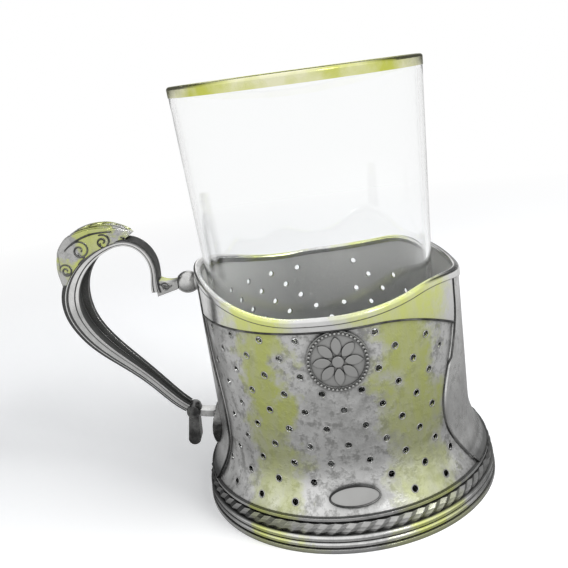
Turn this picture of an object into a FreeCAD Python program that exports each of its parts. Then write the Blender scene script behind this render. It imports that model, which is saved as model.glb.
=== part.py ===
import FreeCAD, Part
import math
import os
from FreeCAD import Vector

# Tea glass holder with its glass, in millimetres.
# +Z is up. The origin is on the axis, in the plane that the foot stands on.
# The front faces -Y and the handle points along -X.

# Foot: a flat base, a rounded moulding, a channel with a rope wire, and a lip
BASE_HEIGHT = 1.1
MOULDING_HEIGHT = 3.5
MOULDING_INSET = 0.2
ROPE_HEIGHT = 3.0
ROPE_SHADOW = 0.6
LIP_HEIGHT = 0.8
LIP_MARGIN = 0.15
LIP_OVERHANG = 0.7
ROPE_THICKNESS = 1.5
FOOT_STEP = 0.5
FOOT_WIDTH = 6.2
ROPE_STRANDS = 72
ROPE_DEPTH = 0.45
ROPE_EDGE_SHARE = 0.66
ROPE_LEVELS = 3
ROPE_LEAN = 0.6
SEAT_THICKNESS = 1.0
SEAT_CLEARANCE = 0.1

# Sleeve: two pierced half shells that flare at the foot
SHEET = 0.8
TOP_RADIUS = 37.5
WAIST_DRAW = 0.8
FLARE_HEIGHT = 13.0
FLARE_RADIUS = 21.8

# Wavy upper edge: low at the front and back, high at the handle, with a low crest
# on each side of the dip opposite the handle
EDGE_DIP_Z = 61.0
EDGE_FLAT = 10.0
EDGE_RISE = 9.0
FAR_RISE = 3.2
FAR_CREST_SHARE = 0.72
FAR_BEND_SHARE = 0.53
BEAD_HEIGHT = 1.7
BEAD_OVERHANG = 0.35
BEAD_ROUND = 0.6

# Collar and side plates, laid over the sleeve
OVERLAY = 0.6
COLLAR_HEIGHT = 1.8
COLLAR_FLAT = 10.0
COLLAR_DROP_RADIUS = 35.0
COLLAR_TURN = 60.0
PLATE_HALF_TOP = 17.5
PLATE_HALF_BELLY = 25.5
PLATE_HALF_FOOT = 22.0
HANDLE_PLATE_SHARE = 0.67
PLATE_TOP_Z = 55.0
PLATE_BELLY_Z = 28.0
PLATE_STEPS = 8

# Pierced holes, in columns with every second column half a pitch higher
HOLE_RADIUS = 0.95
HOLE_COLUMNS = 46
HOLE_PITCH = 9.7
HOLE_START = 7.5
HOLE_MARGIN = 0.7

# Rosette and oval on the front and back
MEDAL_RADIUS = 8.0
MEDAL_HEIGHT = 0.9
MEDAL_BORDER = 1.1
BOSS_RADIUS = 1.45
BOSS_HEIGHT = 0.3
PETALS = 8
PETAL_START = 1.75
PETAL_MARGIN = 0.55
PETAL_SPACING = 0.3
OVAL_WIDTH = 13.0
OVAL_HEIGHT = 5.0
OVAL_RISE = 4.0
OVAL_THICKNESS = 1.0

# Knob and scroll leaf that hold the handle under the wavy edge
LUG_DROP = 5.6
LUG_RADIUS = 3.3
LUG_NECK_RADIUS = 2.1
LUG_COLLAR_RADIUS = 2.6
LUG_COLLAR = 0.8
LUG_LENGTH = 5.8
SCROLL_HEIGHT = 4.0
SCROLL_WIDTH = 4.6
SCROLL_CROWN = 0.8

# Handle: a channel-shaped strap
HANDLE_REACH = 36.9
HANDLE_LOW_Z = 25.0
STRAP_THICKNESS = 5.4
STRAP_WIDTH = 12.0
STRAP_FLANGE = 1.5
ROUND_SHARE = 0.55
CHANNEL_SHARE = 0.45
GROOVE_START_SHARE = 0.35
GROOVE_END_SHARE = 0.65
GROOVE_DEPTH_SHARE = 0.2

# Strap stations from the rim to the foot of the handle, as shares of
# the handle's reach, its height, the strap's thickness and its width
STRAP = (
    (0.331, 0.962, 0.59, 0.42),
    (0.328, 1.127, 0.37, 0.50),
    (0.393, 1.303, 0.33, 0.55),
    (0.534, 1.377, 0.33, 0.60),
    (0.702, 1.349, 0.43, 0.72),
    (0.881, 1.242, 0.69, 0.88),
    (1.000, 1.056, 1.00, 1.00),
    (0.995, 0.852, 1.00, 0.95),
    (0.854, 0.616, 0.81, 0.78),
    (0.672, 0.440, 0.63, 0.63),
    (0.439, 0.209, 0.52, 0.50),
    (0.241, 0.015, 0.48, 0.42),
)

# Thumb rest on the strap's shoulder, in the same shares: tip, crown, outer edge, cheek, heel
THUMB_OUTLINE = ((0.455, 1.435), (0.70, 1.515), (0.95, 1.475), (1.045, 1.36), (1.07, 1.20))
THUMB_FIRST = 3
THUMB_LAST = 6
THUMB_SINK = 0.25
THUMB_HALF_WIDTH = 6.4
THUMB_BULGE = 0.6

# Lobes of the thumb rest seen from above: share of its length, share of its half width
THUMB_LOBES = ((0.0, 0.10), (0.24, 0.62), (0.50, 0.86), (0.76, 0.95), (1.0, 0.72))

# Leaf, barrel, link and drop at the handle's foot
LEAF_LENGTH = 13.0
LEAF_HALF_WIDTH = 5.0
LEAF_THICKNESS = 2.6
LEAF_EDGE = 0.7
LEAF_ABOVE = 0.5
LEAF_SHOULDER = 0.38
LEAF_TOP_FULLNESS = 0.8
LEAF_TOP_RISE = 0.6
LEAF_LOW_FULLNESS = 0.62
KNUCKLE_REACH = 0.2
KNUCKLE_DROP = 0.8
KNUCKLE_RADIUS = 2.3
KNUCKLE_CROWN = 0.4
KNUCKLE_WIDTH = 5.4
LINK_HEIGHT = 2.0
LINK_WIDTH = 3.6
LINK_DROP = 1.4
LINK_SAG = 0.5
TAIL_LENGTH = 10.6
TAIL_HALF_WIDTH = 1.9
TAIL_NECK = 1.4
TAIL_LEAN = 0.9
TAIL_THICKNESS = 4.4

# Glass, which stands a little toward the handle
GLASS_TOP_Z = 121.8
GLASS_OFFSET = 2.0
GLASS_PLAY = 1.15
GLASS_TAPER = 0.0538
GLASS_WALL = 1.4
GLASS_FLOOR = 5.0
GLASS_BASE_ROUND = 2.5
GLASS_CLEARANCE = 0.3
GILT_HEIGHT = 3.0
GILT_THICKNESS = 0.15

# Heights and radii that follow from the sizes above
MOULDING_TOP_Z = BASE_HEIGHT + MOULDING_HEIGHT
LIP_LOW_Z = MOULDING_TOP_Z + ROPE_HEIGHT + ROPE_SHADOW
FOOT_TOP_Z = LIP_LOW_Z + LIP_HEIGHT
SEAT_TOP_Z = FOOT_TOP_Z + SEAT_THICKNESS
WAIST_Z = FOOT_TOP_Z + FLARE_HEIGHT
WAIST_RADIUS = TOP_RADIUS - WAIST_DRAW
FOOT_SPREAD = FLARE_RADIUS - math.sqrt((FLARE_RADIUS - OVERLAY) ** 2 - FLARE_HEIGHT ** 2)
LIP_RADIUS = WAIST_RADIUS + FOOT_SPREAD + LIP_MARGIN
ROPE_SEAT_RADIUS = LIP_RADIUS - LIP_OVERHANG
ROPE_RADIUS = ROPE_SEAT_RADIUS + ROPE_THICKNESS
FOOT_RADIUS = ROPE_RADIUS + FOOT_STEP
FOOT_INNER_RADIUS = FOOT_RADIUS - FOOT_WIDTH
EDGE_CREST_Z = EDGE_DIP_Z + EDGE_RISE
EDGE_REACH = TOP_RADIUS + 2 * BEAD_HEIGHT
COLLAR_LOW_Z = EDGE_DIP_Z - BEAD_HEIGHT - COLLAR_HEIGHT
MEDAL_Z = COLLAR_LOW_Z - MEDAL_RADIUS
OVAL_Z = FOOT_TOP_Z + OVAL_RISE
SIDE_RADIUS = TOP_RADIUS + OVERLAY
BEAD_INNER_RADIUS = TOP_RADIUS - SHEET - BEAD_OVERHANG
LUG_Z = EDGE_CREST_Z - LUG_DROP
STRAP_SPAN = LUG_Z - HANDLE_LOW_Z
GLASS_BASE_Z = SEAT_TOP_Z + GLASS_CLEARANCE
GLASS_NECK_RADIUS = BEAD_INNER_RADIUS - GLASS_OFFSET - GLASS_PLAY

# Taller and wider than the whole object, for cutting tools
CLEAR_Z = EDGE_DIP_Z + 2 * EDGE_RISE
CLEAR = 2.0 * (FOOT_RADIUS + HANDLE_REACH)

Y_AXIS = Vector(0, 1, 0)
Z_AXIS = Vector(0, 0, 1)
ORIGIN = Vector(0, 0, 0)


def save(shape, name):
    shape.exportStep(os.path.join("parts", name + ".step"))


def at(r, z, y=0.0):
    """A point in the handle's plane: r is measured outward, along -X."""
    return Vector(-r, y, z)


def line(a, b):
    return Part.LineSegment(a, b).toShape()


def arc(a, b, c):
    return Part.Arc(a, b, c).toShape()


def face_of(edges):
    return Part.Face(Part.Wire(Part.__sortEdges__(edges)))


def polygon_face(points):
    return Part.Face(Part.makePolygon(points + [points[0]]))


def revolved(profile):
    return profile.revolve(ORIGIN, Z_AXIS, 360)


def ring(inner, outer, low, high):
    corners = [(inner, low), (outer, low), (outer, high), (inner, high)]
    return revolved(polygon_face([Vector(r, 0, z) for r, z in corners]))


def thick(face, width):
    """A flat face in the handle's plane made into a plate of that width, centred on the plane."""
    plate = face.extrude(Y_AXIS * width)
    plate.translate(Y_AXIS * (-width / 2))
    return plate


def largest(shape):
    """The biggest solid of a cut shape."""
    return max(shape.Solids, key=lambda solid: solid.Volume)


def facing(sign, shape):
    """The front piece itself for -1, or its mirror image at the back for 1."""
    return shape.mirror(ORIGIN, Y_AXIS) if sign > 0 else shape


# Sleeve surface

def sleeve_radius(z, offset=0.0):
    """Radius of the sleeve's outside at height z, moved outward by offset."""
    if z >= WAIST_Z:
        share = (z - WAIST_Z) / (EDGE_DIP_Z - WAIST_Z)
        return WAIST_RADIUS + (TOP_RADIUS - WAIST_RADIUS) * share + offset
    bend = FLARE_RADIUS - offset
    return WAIST_RADIUS + FLARE_RADIUS - math.sqrt(bend ** 2 - (WAIST_Z - z) ** 2)


def sleeve_tilt(z):
    """How far the sleeve's outside looks up at height z, as an angle."""
    return math.asin(max(WAIST_Z - z, 0.0) / FLARE_RADIUS)


def sleeve_line(offset):
    """The sleeve's outline moved outward by offset, from the foot up past the edge."""
    middle_z = (FOOT_TOP_Z + WAIST_Z) / 2
    heights = (FOOT_TOP_Z, middle_z, WAIST_Z, CLEAR_Z)
    foot, middle, waist, crest = [Vector(sleeve_radius(z, offset), 0, z) for z in heights]
    return [arc(foot, middle, waist), line(waist, crest)]


def closed_profile(inside, outside):
    """The flat profile between two outlines that run from the foot to the top."""
    low = line(inside[0].firstVertex().Point, outside[0].firstVertex().Point)
    high = line(inside[-1].lastVertex().Point, outside[-1].lastVertex().Point)
    return face_of(inside + outside + [low, high])


def sleeve_layer(inner, outer):
    """A full turn of sheet between two offsets from the sleeve's outside."""
    return revolved(closed_profile(sleeve_line(inner), sleeve_line(outer)))


def drum(offset):
    """The solid inside the sleeve's outside moved outward by offset."""
    axis = [line(Vector(0, 0, FOOT_TOP_Z), Vector(0, 0, CLEAR_Z))]
    return revolved(closed_profile(axis, sleeve_line(offset)))


def bend_points(x, z, radius, start, end):
    """Three points of an upright arc, with its turns measured from straight up toward +X."""
    turns = (start, (start + end) / 2, end)
    return [Vector(x + radius * math.sin(turn), -CLEAR, z + radius * math.cos(turn)) for turn in turns]


def near_edge(drop):
    """The wavy edge's climb to the handle, lowered by drop."""
    bend = ((TOP_RADIUS - EDGE_FLAT) ** 2 + EDGE_RISE ** 2) / (2 * EDGE_RISE)
    turn = math.asin((EDGE_REACH - EDGE_FLAT) / (bend + drop))
    return bend_points(-EDGE_FLAT, EDGE_DIP_Z + bend, bend + drop, math.pi, math.pi + turn)


def far_edge(drop):
    """The wavy edge's dip and its low crest on the far side, lowered by drop."""
    crest_x, crest_bend = FAR_CREST_SHARE * TOP_RADIUS, FAR_BEND_SHARE * TOP_RADIUS
    apart = (crest_x ** 2 + FAR_RISE ** 2) / (2 * FAR_RISE)
    dip_bend = apart - crest_bend
    lean = math.asin(crest_x / apart)
    turn = math.asin((EDGE_REACH - crest_x) / (crest_bend - drop))
    dip = bend_points(0.0, EDGE_DIP_Z + dip_bend, dip_bend + drop, math.pi, math.pi - lean)
    crest_z = EDGE_DIP_Z + FAR_RISE - crest_bend
    return dip, bend_points(crest_x, crest_z, crest_bend - drop, -lean, turn)


def below_edge(drop):
    """All the space under the wavy edge, with the edge lowered by drop."""
    near = near_edge(drop)
    dip, crest = far_edge(drop)
    floor_left, floor_right = Vector(near[2].x, -CLEAR, 0), Vector(crest[2].x, -CLEAR, 0)
    edges = [arc(*near), line(near[0], dip[0]), arc(*dip), arc(*crest), line(crest[2], floor_right)]
    edges += [line(floor_right, floor_left), line(floor_left, near[2])]
    return face_of(edges).extrude(Y_AXIS * (2 * CLEAR))


def half_space(sign):
    """Everything in front of the axis for -1, or behind it for 1."""
    corner = Vector(-CLEAR, 0 if sign > 0 else -CLEAR, 0)
    return Part.makeBox(2 * CLEAR, CLEAR, CLEAR, corner)


# Side plates

def plate_share(sign):
    """How wide a side plate is beside the far one: the handle's is on the side of -1."""
    return HANDLE_PLATE_SHARE if sign < 0 else 1.0


def plate_half_width(z):
    """Half the width of the far side plate at height z, seen square on."""
    end, far = PLATE_HALF_FOOT, FOOT_TOP_Z
    if z >= PLATE_BELLY_Z:
        end, far = PLATE_HALF_TOP, PLATE_TOP_Z
    share = min((z - PLATE_BELLY_Z) / (far - PLATE_BELLY_Z), 1.0)
    return end + (PLATE_HALF_BELLY - end) * (1 + math.cos(math.pi * share)) / 2


def plate_side(side, share):
    """One upright side of a plate's outline, drawn on the plane X = 0."""
    rise = (PLATE_TOP_Z - FOOT_TOP_Z) / PLATE_STEPS
    heights = [FOOT_TOP_Z + rise * i for i in range(PLATE_STEPS + 1)]
    points = [Vector(0, side * share * plate_half_width(z), z) for z in heights]
    curve = Part.BSplineCurve()
    curve.interpolate(points)
    return [curve.toShape(), line(points[-1], Vector(0, points[-1].y, CLEAR_Z))]


def plate_prism(sign):
    """The side plate's outline as a prism along X, toward the side that sign names."""
    left, right = plate_side(-1, plate_share(sign)), plate_side(1, plate_share(sign))
    return closed_profile(left, right).extrude(Vector(sign * CLEAR, 0, 0))


def side_plate(sign):
    plate = sleeve_layer(0.0, OVERLAY).common(plate_prism(sign))
    return plate.common(below_edge(BEAD_HEIGHT))


# Pierced panels

def collar_low(x):
    """Height of the collar's lower edge, which drops toward the far side."""
    past = min(max(x - COLLAR_FLAT, 0.0), COLLAR_DROP_RADIUS)
    return COLLAR_LOW_Z - COLLAR_DROP_RADIUS + math.sqrt(COLLAR_DROP_RADIUS ** 2 - past ** 2)


def hole_is_kept(angle, z):
    """True where a hole is clear of the plates, the collar and the ornaments."""
    margin = HOLE_RADIUS + HOLE_MARGIN
    turn = math.radians(angle)
    across = sleeve_radius(z) * turn
    from_plate = sleeve_radius(z) * math.cos(turn) - plate_share(turn) * plate_half_width(z)
    from_collar = collar_low(sleeve_radius(z) * math.sin(turn)) - z
    from_medal = math.hypot(across, z - MEDAL_Z) - MEDAL_RADIUS
    reach_x, reach_z = OVAL_WIDTH / 2 + margin, OVAL_HEIGHT / 2 + margin
    from_oval = math.hypot(across / reach_x, (z - OVAL_Z) / reach_z)
    return min(from_plate, from_collar, from_medal, z - FOOT_TOP_Z) > margin and from_oval > 1


def hole_tool(angle, z):
    """A short rod square to the sleeve."""
    turn = math.radians(angle)
    tilt = sleeve_tilt(z)
    flat = Vector(math.sin(turn), -math.cos(turn), 0)
    outward = flat * math.cos(tilt) + Z_AXIS * math.sin(tilt)
    start = flat * sleeve_radius(z) + Z_AXIS * z - outward * (3 * SHEET)
    return Part.makeCylinder(HOLE_RADIUS, 6 * SHEET, start, outward)


def hole_tools():
    """Rods for every hole of the front panel."""
    step = 360.0 / HOLE_COLUMNS
    columns = int(90.0 / step)
    rows = int(EDGE_DIP_Z / HOLE_PITCH)
    tools = []
    for column in range(-columns, columns + 1):
        lift = HOLE_START + (HOLE_PITCH / 2 if column % 2 else 0.0)
        for row in range(-1, rows):
            angle, z = column * step, FOOT_TOP_Z + lift + row * HOLE_PITCH
            if hole_is_kept(angle, z):
                tools.append(hole_tool(angle, z))
    return tools


def pierced_panel(sign):
    """Half of the sleeve: the front for -1, the back for 1."""
    half = sleeve_layer(-SHEET, 0.0).common(half_space(-1)).common(below_edge(BEAD_HEIGHT))
    return facing(sign, half.cut(hole_tools()))


# Collar and rim bead

def below_collar():
    """All the space under the collar's lower edge."""
    turn = math.radians(COLLAR_TURN)
    places = [COLLAR_FLAT + COLLAR_DROP_RADIUS * math.sin(turn * share) for share in (0.0, 0.5, 1.0)]
    drop = [Vector(x, -CLEAR, collar_low(x)) for x in places]
    left = Vector(-places[2], -CLEAR, COLLAR_LOW_Z)
    floor_left, floor_right = Vector(-places[2], -CLEAR, 0), Vector(places[2], -CLEAR, 0)
    edges = [line(left, drop[0]), arc(*drop), line(drop[2], floor_right)]
    edges += [line(floor_right, floor_left), line(floor_left, left)]
    return face_of(edges).extrude(Y_AXIS * (2 * CLEAR))


def collar(sign):
    """The plain band under the wavy edge, between the side plates."""
    band = sleeve_layer(0.0, OVERLAY).common(half_space(sign)).common(below_edge(BEAD_HEIGHT))
    return band.cut([plate_prism(1), plate_prism(-1), below_collar()])


def rim_bead():
    """A round-topped wire that follows the wavy edge and caps the sheets."""
    tube = ring(BEAD_INNER_RADIUS, SIDE_RADIUS + BEAD_OVERHANG, FOOT_TOP_Z, CLEAR_Z)
    bead = tube.common(below_edge(0.0)).cut(below_edge(BEAD_HEIGHT))
    upper = [edge for edge in bead.Edges if edge.BoundBox.ZMin > EDGE_DIP_Z - BEAD_HEIGHT / 2]
    around = [edge for edge in upper if edge.Length > EDGE_FLAT / 2]
    return bead.makeFillet(BEAD_ROUND, around)


# Foot

def base_ring():
    return ring(FOOT_INNER_RADIUS, FOOT_RADIUS, 0.0, BASE_HEIGHT)


def foot_ring():
    """The foot's moulding: two rounds, a channel for the rope wire and a lip."""
    half = MOULDING_HEIGHT / 4
    step = FOOT_RADIUS - MOULDING_INSET - half
    heights = [BASE_HEIGHT + half * i for i in range(5)]
    inner = [Vector(step, 0, z) for z in heights]
    outer = [Vector(step + half, 0, z) for z in heights]
    edges = [arc(inner[0], outer[1], inner[2]), arc(inner[2], outer[3], inner[4])]
    corners = [(step, MOULDING_TOP_Z), (ROPE_SEAT_RADIUS, MOULDING_TOP_Z), (ROPE_SEAT_RADIUS, LIP_LOW_Z)]
    corners += [(LIP_RADIUS, LIP_LOW_Z), (LIP_RADIUS, FOOT_TOP_Z), (FOOT_INNER_RADIUS, FOOT_TOP_Z)]
    corners += [(FOOT_INNER_RADIUS, BASE_HEIGHT), (step, BASE_HEIGHT)]
    points = [Vector(r, 0, z) for r, z in corners]
    edges += [line(a, b) for a, b in zip(points, points[1:])]
    return revolved(face_of(edges))


def rope_level(level):
    """Points round the rope wire at one level: a crest and a valley for every strand."""
    bulge = math.sin(math.pi * level / ROPE_LEVELS)
    depth = ROPE_RADIUS - ROPE_SEAT_RADIUS
    crest = ROPE_SEAT_RADIUS + depth * (ROPE_EDGE_SHARE + (1 - ROPE_EDGE_SHARE) * bulge)
    points = []
    for i in range(2 * ROPE_STRANDS):
        radius = crest - (ROPE_DEPTH if i % 2 else 0.0)
        turn = math.pi * (i + ROPE_LEAN * level) / ROPE_STRANDS
        z = MOULDING_TOP_Z + ROPE_HEIGHT * level / ROPE_LEVELS
        points.append(Vector(radius * math.cos(turn), radius * math.sin(turn), z))
    return points


def foot_rope():
    """A twisted wire laid in the foot's channel, faceted strand by strand."""
    levels = [rope_level(level) for level in range(ROPE_LEVELS + 1)]
    faces = [polygon_face(levels[0]), polygon_face(levels[-1])]
    for low, high in zip(levels, levels[1:]):
        for i in range(len(low)):
            k = (i + 1) % len(low)
            faces.append(polygon_face([low[i], low[k], high[k]]))
            faces.append(polygon_face([low[i], high[k], high[i]]))
    rod = Part.Solid(Part.Shell(faces))
    core = Part.makeCylinder(ROPE_SEAT_RADIUS, FOOT_TOP_Z)
    return rod.cut(core)


def seat_plate():
    """The disc that the glass stands on."""
    radius = sleeve_radius(SEAT_TOP_Z, -SHEET) - SEAT_CLEARANCE
    return Part.makeCylinder(radius, SEAT_THICKNESS, Vector(0, 0, FOOT_TOP_Z))


# Ornaments

def petal(index, front):
    """One lens-shaped petal of the rosette, as a prism that ends at the rosette's face."""
    turn = 2 * math.pi * index / PETALS
    end = MEDAL_RADIUS - MEDAL_BORDER - PETAL_MARGIN
    middle = (PETAL_START + end) / 2
    half = middle * math.sin(math.pi / PETALS) - PETAL_SPACING
    along = Vector(math.cos(turn), 0, math.sin(turn))
    across = Vector(-math.sin(turn), 0, math.cos(turn)) * half
    centre = Vector(0, -front, MEDAL_Z)
    near, belly, far = [centre + along * reach for reach in (PETAL_START, middle, end)]
    sides = [arc(near, belly + across, far), arc(far, belly - across, near)]
    return face_of(sides).extrude(Y_AXIS * front)


def medallion(sign):
    """A round rosette with a raised border, in the middle of one pierced field."""
    front = sleeve_radius(MEDAL_Z) + MEDAL_HEIGHT
    place = Vector(0, -front, MEDAL_Z)
    disc = Part.makeCylinder(MEDAL_RADIUS, front, place, Y_AXIS)
    well = Part.makeCylinder(MEDAL_RADIUS - MEDAL_BORDER, MEDAL_HEIGHT / 2, place, Y_AXIS)
    boss = Part.makeCylinder(BOSS_RADIUS, front, place - Y_AXIS * BOSS_HEIGHT, Y_AXIS)
    petals = [petal(index, front) for index in range(PETALS)]
    shape = disc.cut(well).fuse(petals + [boss]).common(half_space(-1))
    return facing(sign, largest(shape.cut(drum(0.0)).removeSplitter()))


def oval_boss(sign):
    """A small oval on the flare under the medallion."""
    tilt = sleeve_tilt(OVAL_Z)
    outward = Vector(0, -math.cos(tilt), math.sin(tilt))
    centre = Vector(0, -sleeve_radius(OVAL_Z), OVAL_Z) + outward * OVAL_THICKNESS
    oval = Part.Ellipse(centre, OVAL_WIDTH / 2, OVAL_HEIGHT / 2)
    oval.Axis = outward
    oval.XAxis = Vector(1, 0, 0)
    boss = face_of([oval.toShape()]).extrude(outward * (-3 * OVAL_THICKNESS))
    return facing(sign, largest(boss.cut(drum(0.0))))


# Handle

def strap_place(reach, height):
    return at(SIDE_RADIUS + reach * HANDLE_REACH, HANDLE_LOW_Z + height * STRAP_SPAN)


def strap_path():
    path = Part.BSplineCurve()
    path.interpolate([strap_place(row[0], row[1]) for row in STRAP])
    return path


def strap_inward(path, place):
    """The direction from the strap's back to its fingers' side."""
    return path.tangent(path.parameter(place))[0].cross(Y_AXIS)


def strap_section(path, row):
    """The strap's section: a round-backed channel, open toward the fingers, grooved at each side."""
    place = strap_place(row[0], row[1])
    inward = strap_inward(path, place)
    half, rim = row[2] * STRAP_THICKNESS / 2, row[3] * STRAP_WIDTH / 2
    flange = rim - STRAP_FLANGE
    floor = half * (1 - 2 * CHANNEL_SHARE)
    start, end, sunk = GROOVE_START_SHARE * half, GROOVE_END_SHARE * half, GROOVE_DEPTH_SHARE * half
    bend = ROUND_SHARE * half
    cut = bend * (1 - math.sqrt(0.5))
    side = [(-half, rim - bend), (cut - half, rim - cut), (bend - half, rim), (-start, rim)]
    side += [(sunk - start, rim - sunk), (end - sunk, rim - sunk), (end, rim)]
    side += [(half, rim), (half, flange), (floor, flange)]
    corners = side + [(depth, -across) for depth, across in reversed(side)]
    points = [place + inward * depth + Y_AXIS * across for depth, across in corners]
    return Part.makePolygon(points + [points[0]])


def handle_strap(barrel):
    path = strap_path()
    strap = Part.makeLoft([strap_section(path, row) for row in STRAP], True, False)
    return largest(strap.cut(barrel))


def rim_lug():
    """A turned knob soldered to the side plate under the wavy edge."""
    start = SIDE_RADIUS - SHEET
    neck = SIDE_RADIUS + LUG_COLLAR
    end = SIDE_RADIUS + LUG_LENGTH
    root, waist = at(start, LUG_Z + LUG_RADIUS), at(neck, LUG_Z + LUG_COLLAR_RADIUS)
    belly, tip = at((neck + end) / 2, LUG_Z + LUG_RADIUS), at(end, LUG_Z + LUG_NECK_RADIUS)
    middle, close = at(start, LUG_Z), at(end, LUG_Z)
    edges = [line(middle, root), line(root, waist), arc(waist, belly, tip), line(tip, close)]
    edges.append(line(close, middle))
    knob = face_of(edges).revolve(middle, Vector(1, 0, 0), 360)
    return largest(knob.cut(drum(OVERLAY)))


def scroll_leaf(strap):
    """The small leaf that joins the strap's curled end to the knob."""
    start = SIDE_RADIUS + LUG_LENGTH
    end = SIDE_RADIUS + STRAP[0][0] * HANDLE_REACH
    low, high = LUG_Z - SCROLL_HEIGHT / 2, LUG_Z + SCROLL_HEIGHT / 2
    root = [at(start, low + SCROLL_CROWN), at(start, high - SCROLL_CROWN)]
    tip = [at(end, low - SCROLL_CROWN), at(end, high + SCROLL_CROWN)]
    dip = at((start + end) / 2, high - SCROLL_CROWN)
    edges = [line(root[0], tip[0]), line(tip[0], tip[1]), arc(tip[1], dip, root[1]), line(root[1], root[0])]
    return largest(thick(face_of(edges), SCROLL_WIDTH).cut(strap))


def thumb_plan(tip, cheek):
    """The thumb rest's lobed outline seen from above, as an upright prism."""
    length = tip.x - cheek.x + 2 * THUMB_BULGE
    edges = []
    ends = []
    for side in (-1, 1):
        spots = [Vector(tip.x - along * length, side * across * THUMB_HALF_WIDTH, 0)
                 for along, across in THUMB_LOBES]
        for near, far in zip(spots, spots[1:]):
            edges.append(arc(near, (near + far) / 2 + Y_AXIS * (side * THUMB_BULGE), far))
        ends.append((spots[0], spots[-1]))
    edges += [line(ends[0][0], ends[1][0]), line(ends[0][1], ends[1][1])]
    return face_of(edges).extrude(Z_AXIS * CLEAR)


def thumb_rest(strap):
    """The lobed leaf on the shoulder of the strap."""
    tip, crown, edge, cheek, heel = [strap_place(*shares) for shares in THUMB_OUTLINE]
    path = strap_path()
    under = []
    for row in STRAP[THUMB_FIRST:THUMB_LAST + 1]:
        place = strap_place(row[0], row[1])
        under.append(place - strap_inward(path, place) * (THUMB_SINK * row[2] * STRAP_THICKNESS))
    curve = Part.BSplineCurve()
    curve.interpolate(under)
    edges = [arc(tip, crown, edge), arc(edge, cheek, heel), line(heel, under[-1])]
    edges += [curve.toShape(), line(under[0], tip)]
    side = thick(face_of(edges), 4 * THUMB_HALF_WIDTH)
    return largest(side.common(thumb_plan(tip, cheek)).cut(strap))


def knuckle_centre():
    """The middle of the barrel at the strap's lower end."""
    return strap_place(KNUCKLE_REACH, 0.0) - Z_AXIS * KNUCKLE_DROP


def lower_knuckle():
    """The barrel at the strap's lower end, which carries the link and the drop."""
    centre = knuckle_centre()
    half = Y_AXIS * (KNUCKLE_WIDTH / 2)
    rim = centre + Vector(KNUCKLE_RADIUS - KNUCKLE_CROWN, 0, 0)
    crown = centre + Vector(KNUCKLE_RADIUS, 0, 0)
    edges = [arc(rim - half, crown, rim + half), line(rim + half, centre + half)]
    edges += [line(centre + half, centre - half), line(centre - half, rim - half)]
    return face_of(edges).revolve(centre, Y_AXIS, 360)


def leaf_outline(low, top):
    """The lower leaf's outline as a prism toward the handle."""
    shoulder = top - LEAF_SHOULDER * LEAF_LENGTH
    sides = []
    for side in (-1, 1):
        wide = Y_AXIS * (side * LEAF_HALF_WIDTH)
        belly = wide + Z_AXIS * shoulder
        upper = wide * LEAF_TOP_FULLNESS + Z_AXIS * (shoulder + (top - shoulder) * LEAF_TOP_RISE)
        lower = wide * LEAF_LOW_FULLNESS + Z_AXIS * ((shoulder + low) / 2)
        sides += [arc(Z_AXIS * top, upper, belly), arc(belly, lower, Z_AXIS * low)]
    return face_of(sides).extrude(Vector(-CLEAR, 0, 0))


def lower_leaf():
    """The leaf-shaped plate by which the handle's foot is fixed to the side plate."""
    top = HANDLE_LOW_Z + LEAF_ABOVE
    low = top - LEAF_LENGTH
    lifts = ((low, LEAF_EDGE), ((low + top) / 2, LEAF_THICKNESS), (top, LEAF_EDGE))
    outer = [at(sleeve_radius(z, OVERLAY) + lift, z) for z, lift in lifts]
    inner = [at(WAIST_RADIUS - SHEET, z) for z in (top, low)]
    edges = [arc(*outer), line(outer[2], inner[0]), line(inner[0], inner[1]), line(inner[1], outer[0])]
    dome = thick(face_of(edges), 4 * LEAF_HALF_WIDTH)
    return largest(dome.common(leaf_outline(low, top)).cut(drum(OVERLAY)))


def tail_drop(barrel):
    """The drop-shaped end that hangs under the barrel."""
    centre = knuckle_centre()
    neck, wide = Vector(TAIL_NECK, 0, 0), Vector(TAIL_HALF_WIDTH, 0, 0)
    tip = centre + at(TAIL_LEAN, -TAIL_LENGTH)
    belly = tip + Z_AXIS * TAIL_HALF_WIDTH
    edges = [line(centre - neck, belly - wide), arc(belly - wide, tip, belly + wide)]
    edges += [line(belly + wide, centre + neck), line(centre + neck, centre - neck)]
    return largest(thick(face_of(edges), TAIL_THICKNESS).cut(barrel))


def lower_link(leaf, barrel, tail):
    """The short bar from the barrel to the leaf-shaped plate."""
    start = knuckle_centre()
    end = at(sleeve_radius(start.z, OVERLAY), start.z - LINK_DROP)
    up = Z_AXIS * (LINK_HEIGHT / 2)
    sag = (start + end) / 2 - Z_AXIS * LINK_SAG
    edges = [arc(start + up, sag + up, end + up), line(end + up, end - up)]
    edges += [arc(end - up, sag - up, start - up), line(start - up, start + up)]
    bar = thick(face_of(edges), LINK_WIDTH)
    return largest(bar.cut([leaf, barrel, tail, drum(OVERLAY)]))


# Glass

def glass_radius(z, wall=0.0):
    """Radius of the glass's outside at height z, less a wall."""
    return GLASS_NECK_RADIUS + (z - EDGE_CREST_Z) * GLASS_TAPER - wall


def beside_axis(shape):
    """A turned piece of the glass moved to where the glass stands."""
    shape.translate(Vector(-GLASS_OFFSET, 0, 0))
    return shape


def rounded_corner(low, corner, high, radius):
    """The start, middle and end of the arc that rounds a corner."""
    back = (low - corner).normalize()
    on = (high - corner).normalize()
    half_angle = back.getAngle(on) / 2
    reach = radius / math.tan(half_angle)
    centre = corner + (back + on).normalize() * (radius / math.sin(half_angle))
    middle = centre - (back + on).normalize() * radius
    return corner + back * reach, middle, corner + on * reach


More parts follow.
